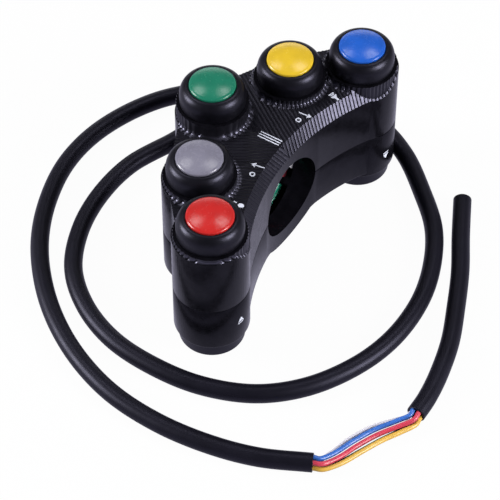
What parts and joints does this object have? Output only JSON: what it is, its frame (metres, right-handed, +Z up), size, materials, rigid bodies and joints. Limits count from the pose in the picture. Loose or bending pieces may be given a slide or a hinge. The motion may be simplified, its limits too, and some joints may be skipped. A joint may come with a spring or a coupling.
{
  "type": "handlebar switch cluster",
  "caption": "Curved two-part clamp housing for a round handlebar, with sprung push buttons in round bezels on front and rear, and a coiled cable with a bared stretch of wires.",
  "frame": {"origin": "on the table under the middle of the housing's box, the cable and its gland left out", "axes": "+X along the handlebar towards the grip side, +Y along the row of buttons from the red one to the blue one, +Z up from the table, the way the front buttons face"},
  "size_m": [0.1246, 0.1191, 0.0478],
  "materials": {
    "housing_front": "satin black, ribbed on the top plate",
    "housing_rear": "satin black",
    "bezel": "smooth satin black",
    "cap_green": "glossy green",
    "cap_yellow": "glossy yellow",
    "cap_blue": "glossy blue",
    "cap_grey": "glossy grey",
    "cap_red": "glossy red",
    "cap_black": "glossy black",
    "switch_white": "moulded white",
    "switch_base": "moulded ivory",
    "spring_steel": "drawn wire",
    "screw_steel": "dark zinc",
    "nut_metal": "turned",
    "tag_brass": "stamped",
    "gland_rubber": "matt black",
    "cable_jacket": "satin black",
    "wire_white": "smooth white",
    "wire_blue": "smooth blue",
    "wire_red": "smooth red",
    "wire_yellow": "smooth yellow",
    "wire_green": "smooth green"
  },
  "bodies": {
    "housing": {"front_housing": "housing_front", "rear_housing": "housing_rear", "housing_screws": "screw_steel", "button_nuts": "nut_metal", "solder_tags": "tag_brass", "bezel_green": "bezel", "bezel_yellow": "bezel", "bezel_blue": "bezel", "bezel_grey": "bezel", "bezel_red": "bezel", "bezel_rear_right": "bezel", "bezel_rear_left": "bezel", "spring_green": "spring_steel", "spring_yellow": "spring_steel", "spring_blue": "spring_steel", "spring_grey": "spring_steel", "spring_red": "spring_steel", "spring_rear_right": "spring_steel", "spring_rear_left": "spring_steel", "base_green": "switch_base", "base_yellow": "switch_base", "base_blue": "switch_base", "base_grey": "switch_base", "base_red": "switch_base", "base_rear_right": "switch_base", "base_rear_left": "switch_base", "groove_wire_red": "wire_red", "groove_wire_green": "wire_green", "groove_wire_white": "wire_white", "cable_gland": "gland_rubber", "cable_lead": "cable_jacket", "cable_tail": "cable_jacket", "bare_wire_white": "wire_white", "bare_wire_blue": "wire_blue", "bare_wire_red": "wire_red", "bare_wire_yellow": "wire_yellow", "bare_wire_green": "wire_green"},
    "button_green": {"cap_green": "cap_green", "plunger_green": "switch_white"},
    "button_yellow": {"cap_yellow": "cap_yellow", "plunger_yellow": "switch_white"},
    "button_blue": {"cap_blue": "cap_blue", "plunger_blue": "switch_white"},
    "button_grey": {"cap_grey": "cap_grey", "plunger_grey": "switch_white"},
    "button_red": {"cap_red": "cap_red", "plunger_red": "switch_white"},
    "button_rear_right": {"cap_rear_right": "cap_black", "plunger_rear_right": "switch_white"},
    "button_rear_left": {"cap_rear_left": "cap_black", "plunger_rear_left": "switch_white"}
  },
  "joints": [
    {"name": "press_green", "type": "slide", "parent": "housing", "child": "button_green", "axis": [0, 0, -1], "range_m": [0, 0.0018], "stiffness_N_per_m": 900, "springref_m": -0.0002, "deforming": ["spring_green"]},
    {"name": "press_yellow", "type": "slide", "parent": "housing", "child": "button_yellow", "axis": [0, 0, -1], "range_m": [0, 0.0018], "stiffness_N_per_m": 900, "springref_m": -0.0002, "deforming": ["spring_yellow"]},
    {"name": "press_blue", "type": "slide", "parent": "housing", "child": "button_blue", "axis": [0, 0, -1], "range_m": [0, 0.0018], "stiffness_N_per_m": 900, "springref_m": -0.0002, "deforming": ["spring_blue"]},
    {"name": "press_grey", "type": "slide", "parent": "housing", "child": "button_grey", "axis": [0, 0, -1], "range_m": [0, 0.0018], "stiffness_N_per_m": 900, "springref_m": -0.0002, "deforming": ["spring_grey"]},
    {"name": "press_red", "type": "slide", "parent": "housing", "child": "button_red", "axis": [0, 0, -1], "range_m": [0, 0.0018], "stiffness_N_per_m": 900, "springref_m": -0.0002, "deforming": ["spring_red"]},
    {"name": "press_rear_right", "type": "slide", "parent": "housing", "child": "button_rear_right", "axis": [0, 0, 1], "range_m": [0, 0.0018], "stiffness_N_per_m": 900, "springref_m": -0.0002, "deforming": ["spring_rear_right"]},
    {"name": "press_rear_left", "type": "slide", "parent": "housing", "child": "button_rear_left", "axis": [0, 0, 1], "range_m": [0, 0.0018], "stiffness_N_per_m": 900, "springref_m": -0.0002, "deforming": ["spring_rear_left"]}
  ]
}
